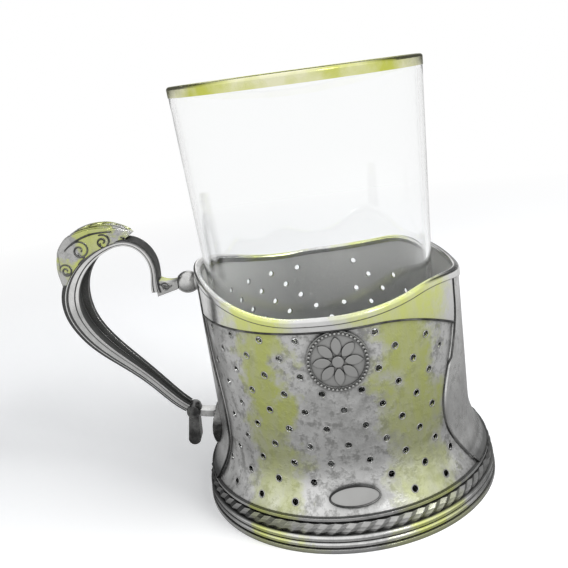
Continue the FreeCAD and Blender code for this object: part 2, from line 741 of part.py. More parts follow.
def tea_glass():
    """A tapered thin-walled glass with a heavy floor and a rounded lip."""
    lip_radius = GLASS_WALL / 2
    lip_z = GLASS_TOP_Z - GILT_THICKNESS - lip_radius
    floor_z = GLASS_BASE_Z + GLASS_FLOOR
    foot = Vector(glass_radius(GLASS_BASE_Z), 0, GLASS_BASE_Z)
    well = Vector(glass_radius(floor_z, GLASS_WALL), 0, floor_z)
    outside = Vector(glass_radius(lip_z), 0, lip_z)
    inside = outside - Vector(GLASS_WALL, 0, 0)
    crest = (outside + inside) / 2 + Z_AXIS * lip_radius
    under, middle = Vector(0, 0, GLASS_BASE_Z), Vector(0, 0, floor_z)
    low = rounded_corner(under, foot, outside, GLASS_BASE_ROUND)
    deep = rounded_corner(inside, well, middle, GLASS_BASE_ROUND)
    edges = [line(under, low[0]), arc(*low), line(low[2], outside), arc(outside, crest, inside)]
    edges += [line(inside, deep[0]), arc(*deep), line(deep[2], middle), line(middle, under)]
    return beside_axis(revolved(face_of(edges)))


def lip_arc(centre, radius):
    """The outer quarter of the lip's round, from its side to its top."""
    slant = radius * math.sqrt(0.5)
    side, top = centre + Vector(radius, 0, 0), centre + Vector(0, 0, radius)
    return side, centre + Vector(slant, 0, slant), top


def gilt_band():
    """The fired gilding on the outside of the lip."""
    lip_radius = GLASS_WALL / 2
    lip_z = GLASS_TOP_Z - GILT_THICKNESS - lip_radius
    low_z = GLASS_TOP_Z - GILT_HEIGHT
    centre = Vector(glass_radius(lip_z) - lip_radius, 0, lip_z)
    inner, outer = lip_arc(centre, lip_radius), lip_arc(centre, lip_radius + GILT_THICKNESS)
    low_inner = Vector(glass_radius(low_z), 0, low_z)
    low_outer = low_inner + Vector(GILT_THICKNESS, 0, 0)
    edges = [line(low_inner, low_outer), line(low_outer, outer[0]), arc(*outer)]
    edges += [line(outer[2], inner[2]), arc(*inner), line(inner[0], low_inner)]
    return beside_axis(revolved(face_of(edges)))


def sleeve_pieces():
    return {
        "front_panel": pierced_panel(-1),
        "back_panel": pierced_panel(1),
        "far_side_plate": side_plate(1),
        "handle_side_plate": side_plate(-1),
        "front_collar": collar(-1),
        "back_collar": collar(1),
        "rim_bead": rim_bead(),
        "front_medallion": medallion(-1),
        "back_medallion": medallion(1),
        "front_oval": oval_boss(-1),
        "back_oval": oval_boss(1),
    }


def foot_pieces():
    return {
        "base_ring": base_ring(),
        "foot_ring": foot_ring(),
        "foot_rope": foot_rope(),
        "seat_plate": seat_plate(),
    }


def handle_pieces():
    barrel = lower_knuckle()
    strap = handle_strap(barrel)
    leaf = lower_leaf()
    tail = tail_drop(barrel)
    return {
        "handle_strap": strap,
        "thumb_rest": thumb_rest(strap),
        "rim_lug": rim_lug(),
        "scroll_leaf": scroll_leaf(strap),
        "lower_knuckle": barrel,
        "lower_leaf": leaf,
        "lower_link": lower_link(leaf, barrel, tail),
        "tail_drop": tail,
    }


def glass_pieces():
    return {"tea_glass": tea_glass(), "gilt_band": gilt_band()}


def build_all():
    os.makedirs("parts", exist_ok=True)
    for group in (sleeve_pieces(), foot_pieces(), handle_pieces(), glass_pieces()):
        for name, shape in group.items():
            save(largest(shape), name)


build_all()
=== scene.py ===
import math

import bmesh
import bpy
from mathutils import Matrix, Vector
from mathutils.bvhtree import BVHTree


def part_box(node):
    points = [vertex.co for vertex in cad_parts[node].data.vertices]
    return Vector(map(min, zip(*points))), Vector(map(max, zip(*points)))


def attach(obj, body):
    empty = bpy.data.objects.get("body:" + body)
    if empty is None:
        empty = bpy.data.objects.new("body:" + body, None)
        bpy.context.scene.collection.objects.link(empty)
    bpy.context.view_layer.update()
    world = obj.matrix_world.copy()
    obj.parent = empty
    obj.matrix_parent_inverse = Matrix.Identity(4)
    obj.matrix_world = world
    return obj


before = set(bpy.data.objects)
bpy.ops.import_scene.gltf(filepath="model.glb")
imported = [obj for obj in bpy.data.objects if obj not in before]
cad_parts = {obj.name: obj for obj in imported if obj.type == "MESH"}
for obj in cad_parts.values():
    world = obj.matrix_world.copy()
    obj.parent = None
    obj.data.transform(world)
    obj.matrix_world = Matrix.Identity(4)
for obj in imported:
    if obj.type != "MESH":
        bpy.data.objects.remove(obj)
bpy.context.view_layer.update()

# Tea glass holder with its glass. Metres, +Z up, front toward -Y, handle toward -X.
MM = 0.001
X_AXIS, Y_AXIS, Z_AXIS = Vector((1, 0, 0)), Vector((0, 1, 0)), Vector((0, 0, 1))

# Camera, as the photograph was taken
CAMERA_PLACE = Vector((0.0, -216.49, 122.83)) * MM
CAMERA_DOWN = math.radians(9.851)
CAMERA_TURN = math.radians(-2.522)
CAMERA_ROLL = math.radians(-7.764)
CAMERA_LENS = 47.85
CAMERA_SENSOR = 36.0
CAMERA_SHIFT_Y = -0.148
CAMERA_CLIP = 1.0 * MM

# Colours, as linear values
WHITE = (1.0, 1.0, 1.0)
SILVER = (0.84, 0.84, 0.83)
POLISHED = (0.90, 0.90, 0.89)
# Painted shade: a darker copy of the silver, under the worn gilding of the thumb rest and scroll leaf
SILVER_SHADED = (0.62, 0.62, 0.61)
# Painted shade: a dimmed copy of the silver, for the foot rope
SILVER_ROPE_DIMMED = (0.6, 0.6, 0.59)
SILVER_RELIEF = (0.5, 0.5, 0.49)
SILVER_OLD = (0.44, 0.44, 0.43)
SILVER_DROP = (0.07, 0.07, 0.07)
# Painted shade: near black, for the trim wires and the flank carving
SHADE_BLACK = (0.06, 0.06, 0.06)
# Black: tarnish in the hollows, painted shade on faces turned to the side, and darker low down
SILVER_DARK = (0.018, 0.018, 0.017)
WARM = (0.66, 0.71, 0.25)
WARM_BRIGHT = (0.88, 0.94, 0.34)
GOLD = (1.0, 0.99, 0.68)
GOLD_WORN = (0.72, 0.76, 0.15)
# Painted light: a lighter silver for the insides
INSIDE_LIGHTENED = (0.92, 0.92, 0.89)
GLASS = (0.985, 0.99, 0.99)
FLOOR_GREYS = ((0.88, 0.88, 0.88), (0.92, 0.92, 0.92))

# Textures, as settings of a noise whose scale is in waves per metre
CLOUD = {"scale": 45.0, "detail": 4.0}
PATCHES = {"scale": 100.0, "detail": 5.0}
RAGGED = {"scale": 110.0, "detail": 5.0, "rough": 0.65}
STAIN = {"scale": 140.0, "detail": 6.0, "rough": 0.7}
SMEAR = {"scale": 260.0, "detail": 5.0, "stretch": (1.0, 1.0, 0.35)}
SPOTS = {"scale": 330.0, "detail": 4.0, "rough": 0.75}
GRAIN = {"scale": 2600.0, "detail": 2.0}
GILT_PATCHES = {"scale": 50.0, "detail": 5.0}
GILT_WEAR = {"scale": 300.0, "detail": 4.0}
RIPPLE = {"scale": 25.0, "detail": 2.0}
CLOTH = {"scale": 6.0, "detail": 2.0}

# Between which two values of its texture each of them goes from nothing to full
CLOUD_SHOWS = (0.35, 0.65)
PATCHES_SHOW = (0.42, 0.48)
RAGGED_SHOWS = (0.3, 0.7)
STAIN_SHOWS = (0.4, 0.62)
SMEAR_SHOWS = (0.3, 0.6)
SPOTS_SHOW = (0.46, 0.62)
GILT_PATCHES_SHOW = (0.42, 0.62)
GILT_WEAR_SHOWS = (0.2, 0.8)
RIPPLE_SHOWS = (0.2, 0.8)
CLOTH_SHOWS = (0.3, 0.7)

# Two upright streaks where the old gilding still shows, alike in front and at the back:
# degrees to the side, and half width
STREAKS = ((-31.0, 13.0), (29.0, 18.0))
STREAK_RAGGED = 0.16
STREAK_CORE = 0.4
STREAK_FADES = (14.0 * MM, 36.0 * MM)
STREAK_LOW = 0.6
GILDING_THINNEST = 0.6

# Recesses: how far round a point they are looked for, and how open it is where black and where
# clean. The two least values are how clean the silver stays where the painted shade on faces
# turned to the side, and the darkening low down, are deepest.
HOLLOW = (2.2 * MM, 0.3, 0.95)
CREASE = (0.7 * MM, 0.35, 0.8)
HOLLOW_DARKENS = 0.75
SIDE_SHADE_LEAST = 0.08
LOW_DARKEST = 0.1

# Between which heights the side plates go from darker at their foot to their plain colour
LOW_DARKENING = (10.5 * MM, 15.0 * MM)

# Painted light on the sleeve's inside: a lighter, matter and less metallic silver. It shows in full
# as the distance from the axis, times how far the surface faces away from it, goes from the first
# of these to the second
INWARD = (-5.0 * MM, -15.0 * MM)
INSIDE_METAL = 0.3
INSIDE_ROUGH = 0.5

# Tarnish, and the painted shade on faces turned to the side, are matt and not metallic, and little
# light glances off them. The pairs are how clean and unshaded the silver is as it stops being matt,
# and as it turns metallic
MATT_IOR = 1.1
MATT_ROUGH = 0.55
MATT_ENDS = (0.0, 0.4)
METAL_BEGINS = (0.1, 0.5)

# Each finish varies between two shares of its own roughness, and has a fine relief
ROUGHNESS_SHOWS = (0.6, 1.4)
SMOOTHEST = 0.75
ROUGHEST = 1.35
RELIEF = 0.02 * MM
RELIEF_STRENGTH = 0.5
RELIEF_GRAIN = 0.4
EDGE_RADIUS = 0.25 * MM

# The glass and its gilding
GILT_ROUGH = (0.1, 0.28)
GILT_RELIEF = 0.02 * MM
GILT_STRENGTH = 0.4
GLASS_ROUGHEST = 0.015
GLASS_RIPPLE = 0.2 * MM
GLASS_STRENGTH = 0.3
GLASS_IOR = 1.47

# Trim wires and pearls
TRIMMED = ("front_collar", "back_collar", "far_side_plate", "handle_side_plate", "front_oval",
           "back_oval")
TRIM_RADIUS = 0.28 * MM
HOLE_RIM_RADIUS = 0.13 * MM
HOLE_AROUND = 10.0 * MM
PEARLS = 44
PEARL_RADIUS = 0.42 * MM
PEARL_INSET = 0.6 * MM

# How squarely a face looks away from the axis to belong to a node's outer side
OUTER_SIDE = 0.55
DOUBLED = 0.001 * MM


# Shader helpers

class Graph:
    """A node tree with short calls for adding nodes."""

    def __init__(self, owner):
        owner.use_nodes = True
        self.owner = owner
        self.tree = owner.node_tree
        self.tree.nodes.clear()

    def add(self, kind, inputs=None, **settings):
        node = self.tree.nodes.new(kind)
        for key, value in settings.items():
            setattr(node, key, value)
        for key, value in (inputs or {}).items():
            self.feed(node.inputs[key], value)
        return node

    def feed(self, socket, value):
        if isinstance(value, bpy.types.NodeSocket):
            self.tree.links.new(value, socket)
        elif isinstance(value, tuple) and len(value) == 3 and len(socket.default_value) == 4:
            socket.default_value = (*value, 1.0)
        else:
            socket.default_value = value

    def math(self, operation, a, b=0.0):
        return self.add("ShaderNodeMath", {0: a, 1: b}, operation=operation).outputs[0]

    def place(self):
        return self.add("ShaderNodeTexCoord").outputs["Object"]

    def facing(self):
        return self.add("ShaderNodeTexCoord").outputs["Normal"]

    def split(self, vector):
        return self.add("ShaderNodeSeparateXYZ", {0: vector}).outputs[:3]

    def noise(self, scale, detail, stretch=(1.0, 1.0, 1.0), rough=0.55):
        mapped = self.add("ShaderNodeMapping", {"Vector": self.place(), "Scale": stretch}).outputs[0]
        inputs = {"Vector": mapped, "Scale": scale, "Detail": detail, "Roughness": rough}
        return self.add("ShaderNodeTexNoise", inputs).outputs["Fac"]

    def levels(self, value, low, high, to_low=0.0, to_high=1.0):
        inputs = {"Value": value, "From Min": low, "From Max": high, "To Min": to_low, "To Max": to_high}
        return self.add("ShaderNodeMapRange", inputs).outputs[0]

    def mix(self, factor, a, b):
        node = self.add("ShaderNodeMix", data_type="RGBA")
        self.feed(node.inputs[0], factor)
        self.feed(node.inputs[6], a)
        self.feed(node.inputs[7], b)
        return node.outputs[2]

    def blend(self, factor, a, b):
        return self.add("ShaderNodeMixShader", {0: factor, 1: a, 2: b}).outputs[0]

    def emission(self, strength):
        return self.add("ShaderNodeEmission", {"Strength": strength}).outputs[0]

    def background(self, colour, strength):
        return self.add("ShaderNodeBackground", {"Color": colour, "Strength": strength}).outputs[0]

    def bump(self, height, distance, strength, normal=None):
        inputs = {"Height": height, "Distance": distance, "Strength": strength}
        if normal is not None:
            inputs["Normal"] = normal
        return self.add("ShaderNodeBump", inputs).outputs[0]

    def open_area(self, distance, low, high):
        """1 in the open and 0 deep in a recess."""
        node = self.add("ShaderNodeAmbientOcclusion", {"Distance": distance}, samples=8)
        return self.levels(node.outputs["AO"], low, high)

    def surface(self, **inputs):
        shader = self.add("ShaderNodeBsdfPrincipled")
        for key, value in inputs.items():
            self.feed(shader.inputs[key.replace("_", " ")], value)
        self.add("ShaderNodeOutputMaterial", {"Surface": shader.outputs[0]})
        return self.owner


def new_graph(name):
    return Graph(bpy.data.materials.new(name))


# Materials

def streaks(graph, spread):
    """Near 1 in the two upright streaks of old gilding, fainter low down, and 0 elsewhere."""
    x, y, z = graph.split(graph.place())
    turn = graph.math("ARCTAN2", x, graph.math("ABSOLUTE", y))
    ragged = graph.levels(graph.noise(**RAGGED), *RAGGED_SHOWS, -STREAK_RAGGED, STREAK_RAGGED)
    turn = graph.math("ADD", turn, ragged)
    total = 0.0
    for degrees, half in STREAKS:
        apart = graph.math("ABSOLUTE", graph.math("SUBTRACT", turn, math.radians(degrees)))
        edge = math.radians(half) * spread
        total = graph.math("MAXIMUM", total, graph.levels(apart, edge, edge * STREAK_CORE))
    return graph.math("MULTIPLY", total, graph.levels(z, *STREAK_FADES, STREAK_LOW, 1.0))


def inward(graph):
    """1 on what looks in at the axis, as the sleeve's inside does, and 0 elsewhere."""
    flat = graph.add("ShaderNodeVectorMath", {0: graph.place(), 1: (1.0, 1.0, 0.0)},
                     operation="MULTIPLY").outputs[0]
    out = graph.add("ShaderNodeVectorMath", {0: flat, 1: graph.facing()},
                    operation="DOT_PRODUCT").outputs["Value"]
    return graph.levels(out, *INWARD)


def dulled(graph, stain, patina):
    """How dull the silver has gone, in broad clouds broken up by stains."""
    cloud = graph.levels(graph.noise(**CLOUD), *CLOUD_SHOWS)
    dull = graph.math("MULTIPLY", cloud, graph.levels(stain, *STAIN_SHOWS))
    return graph.math("MULTIPLY", dull, patina)


def gilded(graph, smear, gilt, streak, spread):
    """How much of the old gilding is left, in patches and in the two streaks."""
    patches = graph.math("MULTIPLY", graph.levels(graph.noise(**PATCHES), *PATCHES_SHOW), gilt)
    left = graph.math("MAXIMUM", graph.math("MULTIPLY", streaks(graph, spread), streak), patches)
    return graph.math("MULTIPLY", left, graph.levels(smear, *SMEAR_SHOWS, GILDING_THINNEST, 1.0))


def clean_and_unshaded_share(graph, patina, within, side_shade, darker_low):
    """1 where the silver is clean and unshaded, and near 0 where it is black: with tarnish in its
    hollows, with painted shade on faces turned to the side, or darker low down.
    """
    hollow = graph.levels(graph.open_area(*HOLLOW), 0.0, 1.0, 1.0 - HOLLOW_DARKENS * patina, 1.0)
    clean_and_unshaded = graph.math("MULTIPLY", hollow, graph.open_area(*CREASE))
    # Painted light: no black is kept on the inside
    clean_and_unshaded = graph.math("MAXIMUM", clean_and_unshaded, within)
    # Painted shade: faces turned away from the front and back go black
    if side_shade:
        along = graph.math("ABSOLUTE", graph.split(graph.facing())[1])
        clean_and_unshaded = graph.math("MULTIPLY", clean_and_unshaded, graph.levels(along, *side_shade, SIDE_SHADE_LEAST, 1.0))
    # Darker towards the bottom, between two heights
    if darker_low:
        height = graph.split(graph.place())[2]
        clean_and_unshaded = graph.math("MULTIPLY", clean_and_unshaded, graph.levels(height, *darker_low, LOW_DARKEST, 1.0))
    return clean_and_unshaded


def roughened(graph, texture, roughness, within, clean_and_unshaded):
    """The finish's roughness, uneven, and matt inside the sleeve and where it is black with tarnish or
    painted shade.
    """
    rough = graph.levels(texture, *ROUGHNESS_SHOWS, roughness * SMOOTHEST, roughness * ROUGHEST)
    rough = graph.math("MAXIMUM", rough, graph.math("MULTIPLY", within, INSIDE_ROUGH))
    return graph.math("MAXIMUM", rough, graph.levels(clean_and_unshaded, *MATT_ENDS, MATT_ROUGH, 0.0))


def silver(name, base=SILVER, roughness=0.28, patina=0.6, ground=0.0, gilt=0.0, streak=0.0, spread=1.0,
           gold=WARM, speckle=0.0, side_shade=None, darker_low=None, lightened_inside=False):
    """Worn silver plate, black in its recesses.

    patina is how dull it is and how black its hollows are, and ground is its stippling's depth.
    gilt and streak are how much of the old gilding is left in patches and in the two streaks,
    spread widens the streaks, and gold is their colour. speckle is how strongly it is spotted.
    The last three arguments paint light and shade. With the first, faces turned to the side carry
    painted shade: the silver goes from black to clean as it turns to the front or back, between its
    two amounts. With the second it goes darker towards the bottom, between its two heights. The
    third paints light on the sleeve's inside with a lighter, matter and less metallic silver.
    """
    graph = new_graph(name)
    smear, stain = graph.noise(**SMEAR), graph.noise(**STAIN)
    spotted = graph.math("MULTIPLY", graph.levels(graph.noise(**SPOTS), *SPOTS_SHOW), speckle)
    within = inward(graph) if lightened_inside else 0.0
    clean_and_unshaded = clean_and_unshaded_share(graph, patina, within, side_shade, darker_low)
    colour = graph.mix(graph.math("MAXIMUM", dulled(graph, stain, patina), spotted), base, SILVER_OLD)
    colour = graph.mix(gilded(graph, smear, gilt, streak, spread), colour, gold)
    # Black where tarnished in the hollows, with painted shade on faces turned to the side, and darker
    # low down
    colour = graph.mix(clean_and_unshaded, SILVER_DARK, colour)
    # Painted light: the inside gets a lighter silver
    colour = graph.mix(within, colour, INSIDE_LIGHTENED)
    rough = roughened(graph, graph.math("ADD", stain, smear), roughness, within, clean_and_unshaded)
    metal_unless_inside = graph.levels(within, 0.0, 1.0, 1.0, INSIDE_METAL)
    metal = graph.math("MULTIPLY", metal_unless_inside, graph.levels(clean_and_unshaded, *METAL_BEGINS))
    grain = graph.math("MULTIPLY", graph.noise(**GRAIN), RELIEF_GRAIN)
    height = graph.math("ADD", grain, graph.math("ADD", smear, spotted))
    edge = graph.add("ShaderNodeBevel", {"Radius": EDGE_RADIUS}, samples=4).outputs[0]
    normal = graph.bump(height, RELIEF + ground, RELIEF_STRENGTH, edge)
    return graph.surface(Base_Color=colour, Metallic=metal, Roughness=rough, Normal=normal,
                         IOR=MATT_IOR)


def gilding():
    """Fired gold, worn to a deeper colour in patches."""
    graph = new_graph("gilding")
    wear = graph.noise(**GILT_WEAR)
    colour = graph.mix(graph.levels(graph.noise(**GILT_PATCHES), *GILT_PATCHES_SHOW), GOLD_WORN, GOLD)
    rough = graph.levels(wear, *GILT_WEAR_SHOWS, *GILT_ROUGH)
    normal = graph.bump(wear, GILT_RELIEF, GILT_STRENGTH)
    return graph.surface(Base_Color=colour, Metallic=1.0, Roughness=rough, Normal=normal)


def clear_glass():
    graph = new_graph("clear_glass")
    ripple = graph.noise(**RIPPLE)
    rough = graph.levels(ripple, *RIPPLE_SHOWS, 0.0, GLASS_ROUGHEST)
    normal = graph.bump(ripple, GLASS_RIPPLE, GLASS_STRENGTH)
    return graph.surface(Base_Color=GLASS, Roughness=rough, Transmission_Weight=1.0, IOR=GLASS_IOR,
                         Normal=normal)


# Shapes read from the CAD nodes

def node_shape(name):
    """A node's surface with its doubled points merged."""
    shape = bmesh.new()
    shape.from_mesh(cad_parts[name].data)
    bmesh.ops.remove_doubles(shape, verts=shape.verts, dist=DOUBLED)
    return shape


def surface_tree(name):
    """A node's surface, ready for finding where a ray meets it."""
    shape = node_shape(name)
    tree = BVHTree.FromBMesh(shape)
    shape.free()
    return tree


def away_from_axis(point):
    return Vector((point.x, point.y, 0.0)).normalized()


def looks_out(face):
    return face.normal.dot(away_from_axis(face.calc_center_median())) > OUTER_SIDE


def outlines(name):
    """Closed lines round the part of a node that looks outward."""
    shape = node_shape(name)
    follow = {}
    for edge in shape.edges:
        if sum(map(looks_out, edge.link_faces)) == 1:
            for vert in edge.verts:
                follow.setdefault(vert, []).append(edge.other_vert(vert))
    loops = []
    while follow:
        ahead = [next(iter(follow))]
        loop = []
        while ahead:
            loop.append(ahead[0].co.copy())
            ahead = [other for other in follow.pop(ahead[0]) if other in follow]
        loops.append(loop)
    shape.free()
    return loops


def around(loop):
    return sum((a - b).length for a, b in zip(loop, loop[1:] + loop[:1]))


# New pieces

def link(name, mesh, material, body="holder"):
    """Puts a new piece in the scene, on its body."""
    piece = bpy.data.objects.new(name, mesh)
    bpy.context.scene.collection.objects.link(piece)
    mesh.materials.append(material)
    for face in mesh.polygons:
        face.use_smooth = True
    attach(piece, body)


def wires(name, lines, radius, material, closed=True, taper=0.0):
    """Round wires along lines. taper is how much thinner a wire's ends are."""
    curve = bpy.data.curves.new(name, "CURVE")
    curve.dimensions = "3D"
    curve.bevel_depth = radius
    curve.bevel_resolution = 2
    curve.use_fill_caps = True
    for line in lines:
        spline = curve.splines.new("POLY")
        spline.points.add(len(line) - 1)
        last = max(len(line) - 1, 1)
        for i, (point, place) in enumerate(zip(spline.points, line)):
            point.co = (*place, 1.0)
            point.radius = 1.0 - taper * abs(2.0 * i / last - 1.0)
        spline.use_cyclic_u = closed
    drawn = bpy.data.objects.new(name + "_curve", curve)
    mesh = bpy.data.meshes.new_from_object(drawn)
    bpy.data.objects.remove(drawn)
    bpy.data.curves.remove(curve)
    mesh.name = name
    link(name, mesh, material)


def trim_wires(metal):
    """Wires soldered along the edges of the collars, side plates and ovals, painted black as the line of
    shade along those edges.
    """
    for name in TRIMMED:
        wires(name + "_trim", outlines(name), TRIM_RADIUS, metal)


def hole_rims(metal):
    """The raised rim that the punch left round every hole."""
    for name in ("front_panel", "back_panel"):
        loops = [loop for loop in outlines(name) if around(loop) < HOLE_AROUND]
        wires(name + "_hole_rims", loops, HOLE_RIM_RADIUS, metal)


def pearl_ring(name, metal):
    """A ring of pearls on a rosette's border."""
    low, high = (Vector(corner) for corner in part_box(name))
    middle = (low + high) / 2
    radius = (high.x - low.x) / 2 - PEARL_INSET
    side = math.copysign(1.0, middle.y)
    face = max(abs(low.y), abs(high.y))
    shape = bmesh.new()
    for i in range(PEARLS):
        turn = 2 * math.pi * i / PEARLS
        place = Vector((radius * math.cos(turn), side * face, middle.z + radius * math.sin(turn)))
        bmesh.ops.create_icosphere(shape, subdivisions=2, radius=PEARL_RADIUS,
                                   matrix=Matrix.Translation(place))
    mesh = bpy.data.meshes.new(name + "_pearls")
    shape.to_mesh(mesh)
    shape.free()
    link(mesh.name, mesh, metal)


# Carving. Seen from the side, the thumb rest's crown is an arc. Turns on it go up from -X.

CARVING_RADIUS = 0.3 * MM
CARVING_TAPER = 0.35
THUMB_CENTRE = Vector((-63.9, 0.0, 68.3)) * MM
THUMB_TIP_TURN = math.radians(122.0)
THUMB_HEEL_TURN = math.radians(18.0)

# How far off the rays start that find the carved surfaces
CROWN_RAY = 40 * MM
FLANK_RAY = 30 * MM
LEAF_RAY = 10 * MM

# A carved line is cut where it leaves the surface. Shorter stretches than this are left out.
LINE_JUMP = 2.5 * MM
LINE_POINTS = 4

# The leaf on the crown, in shares of the thumb rest's length and half width. Its midrib and edges
# are given by where they start, how long they are, and in how many steps they are drawn.
CROWN_MIDRIB = (0.04, 0.92, 24)
CROWN_EDGE = (0.02, 0.95, 30)
CROWN_ROOTS = (0.16, 0.30, 0.44, 0.58, 0.72, 0.86)
CROWN_VEIN_LEAN = 0.13
CROWN_VEIN_STEPS = 12
CROWN_NARROWEST = 0.12
CROWN_SWELL = 0.72
CROWN_BLUNT = 0.04
CROWN_WIDENS = 0.62

# Volutes on the thumb rest's flanks: degrees, mm from the arc's centre, and size in mm. A tendril
# sweeps round each. Stems: mm from the centre, and between which two angles.
VOLUTES = ((26.0, 12.0, 2.2), (62.0, 12.3, 2.9), (94.0, 12.4, 2.2), (117.0, 12.6, 1.4))
VOLUTE_START = -0.4
VOLUTE_TURNS = 1.5
VOLUTE_CLOSES = 0.82
VOLUTE_STEPS = 30
TENDRIL_SIZE = 1.45
TENDRIL_START = 2.2
TENDRIL_TURNS = 0.3
TENDRIL_STEPS = 12
STEMS = ((9.6, 12.0, 112.0), (15.2, 48.0, 104.0))
STEM_STEPS = 30

# The volute and stem on the scroll leaf's flanks, in mm from the same centre. The stem bows like
# the first steps of a half wave.
SCROLL_EYE = (-16.2, -4.0)
SCROLL_SIZE = 1.3
SCROLL_START = 0.6
SCROLL_TURNS = 1.3
SCROLL_STEM_FROM = (-14.2, -2.4)
SCROLL_STEM_STEP = 0.45
SCROLL_STEM_BOW = 1.9
SCROLL_STEM_POINTS = 10
SCROLL_HALF_WAVE = 12

# The leaf at the handle's foot, in shares of its height and half width, given in the same way
FOOT_MIDRIB = (0.06, 0.88, 16)
FOOT_ROOTS = (0.22, 0.40, 0.58, 0.74)
FOOT_VEIN_REACH = 0.72
FOOT_VEIN_RISE = 0.16
FOOT_VEIN_STEPS = 8
FOOT_TAPER = 0.5


def evenly(start, length, steps):
    """Values from start, in equal steps over a length."""
    return [start + length * i / steps for i in range(steps + 1)]


def met(spots):
    """The unbroken stretches of a line. Its spots are where rays met the surface, or None."""
    stretches = [[]]
    for spot in spots:
        latest = stretches[-1]
        if spot is None or (latest and (spot - latest[-1]).length > LINE_JUMP):
            stretches.append([])
        if spot is not None:
            stretches[-1].append(spot)
    return [stretch for stretch in stretches if len(stretch) >= LINE_POINTS]


def on_crown(tree, along, across):
    """A place on the thumb rest: along runs from its tip to its heel, across from -1 to 1."""
    low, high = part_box("thumb_rest")
    half = (high[1] - low[1]) / 2
    turn = THUMB_TIP_TURN + (THUMB_HEEL_TURN - THUMB_TIP_TURN) * along
    outward = -X_AXIS * math.cos(turn) + Z_AXIS * math.sin(turn)
    centre = THUMB_CENTRE + Y_AXIS * (across * half)
    return tree.ray_cast(centre + outward * CROWN_RAY, -outward)[0]


def crown_half(along):
    """How far the leaf on the crown reaches across: it widens from its tip to its full width."""
    widened = min(along * CROWN_WIDENS + CROWN_BLUNT, 0.5)
    return CROWN_NARROWEST + CROWN_SWELL * math.sin(math.pi * widened)


def crown_lines():
    """The crown's midrib, veins and edges, each place as along and across."""
    lines = [[(along, 0.0) for along in evenly(*CROWN_MIDRIB)]]
    for side in (-1, 1):
        for root in CROWN_ROOTS:
            vein = []
            for share in evenly(0.0, 1.0, CROWN_VEIN_STEPS):
                along = root - CROWN_VEIN_LEAN * math.sin(share * math.pi / 2)
                vein.append((along, side * crown_half(along) * share))
            lines.append(vein)
        lines.append([(along, side * crown_half(along)) for along in evenly(*CROWN_EDGE)])
    return lines


def curl(middle, size, start, turns, steps=VOLUTE_STEPS):
    """A volute drawn flat: points from its open end in to its eye."""
    points = []
    for share in evenly(0.0, 1.0, steps):
        turn = start + turns * 2 * math.pi * share
        reach = size * (1.0 - VOLUTE_CLOSES * share)
        points.append((middle[0] + reach * math.cos(turn), middle[1] + reach * math.sin(turn)))
    return points


def flank_lines():
    """Volutes and stems on the thumb rest's flank: mm outward from its centre, and up."""
    lines = []
    for degrees, out, size in VOLUTES:
        turn = math.radians(degrees)
        middle = (out * math.cos(turn), out * math.sin(turn))
        lines.append(curl(middle, size, turn + VOLUTE_START, VOLUTE_TURNS))
        lines.append(curl(middle, size * TENDRIL_SIZE, turn + TENDRIL_START, TENDRIL_TURNS,
                          TENDRIL_STEPS))
    for out, low, high in STEMS:
        turns = [math.radians(degrees) for degrees in evenly(low, high - low, STEM_STEPS)]
        lines.append([(out * math.cos(turn), out * math.sin(turn)) for turn in turns])
    return lines


def scroll_lines():
    """A volute and a stem on the scroll leaf's flank, placed as the thumb rest's lines are."""
    out, up = SCROLL_STEM_FROM
    stem = []
    for i in range(SCROLL_STEM_POINTS):
        bow = SCROLL_STEM_BOW * math.sin(i * math.pi / SCROLL_HALF_WAVE)
        stem.append((out - SCROLL_STEM_STEP * i, up - bow))
    return [curl(SCROLL_EYE, SCROLL_SIZE, SCROLL_START, SCROLL_TURNS), stem]


def carve_crown(metal):
    """The leaf on the thumb rest's crown."""
    tree = surface_tree("thumb_rest")
    placed = [run for line in crown_lines() for run in met([on_crown(tree, *spot) for spot in line])]
    wires("thumb_carving", placed, CARVING_RADIUS, metal, closed=False, taper=CARVING_TAPER)


def carve_flanks(name, lines, metal):
    """Lines painted black on both flanks of a leaf, as the shade in its carving: mm outward from the
    thumb rest's centre, and up.
    """
    tree = surface_tree(name)
    placed = []
    for side in (-1, 1):
        for line in lines:
            starts = [THUMB_CENTRE + Vector((-out * MM, side * FLANK_RAY, up * MM)) for out, up in line]
            placed += met([tree.ray_cast(start, Y_AXIS * -side)[0] for start in starts])
    wires(name + "_flank_carving", placed, CARVING_RADIUS, metal, closed=False,
          taper=CARVING_TAPER)


def carve_lower_leaf(metal):
    """A midrib and side veins on the leaf at the handle's foot."""
    tree = surface_tree("lower_leaf")
    low, high = (Vector(corner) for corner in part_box("lower_leaf"))
    height, half = high.z - low.z, (high.y - low.y) / 2
    lines = [[(0.0, up) for up in evenly(*FOOT_MIDRIB)]]
    for side in (-1, 1):
        for root in FOOT_ROOTS:
            lines.append([(side * FOOT_VEIN_REACH * share, root + FOOT_VEIN_RISE * math.sin(share))
                          for share in evenly(0.0, 1.0, FOOT_VEIN_STEPS)])
    placed = []
    for line in lines:
        starts = [Vector((low.x - LEAF_RAY, across * half, low.z + up * height)) for across, up in line]
        placed += met([tree.ray_cast(start, X_AXIS)[0] for start in starts])
    wires("lower_leaf_veins", placed, CARVING_RADIUS, metal, closed=False,
          taper=FOOT_TAPER)


# Stage

# What metal mirrors of the room: dimmer light from the front, and a dark card on each side. Turns
# are in radians from the back, round either side.
ROOM_FRONT = 0.9
ROOM_BRIGHTENS = (-0.75, 0.15)
CARD_BEGINS = (0.1, 0.3)
CARD_ENDS = (2.0, 1.0)
CARD_TOP = (0.85, 0.65)
CARD_LIGHT = 0.07

# The room's light on things
FALLING_COLOUR = (0.95, 0.97, 1.0)
FALLING_STRENGTH = 0.55

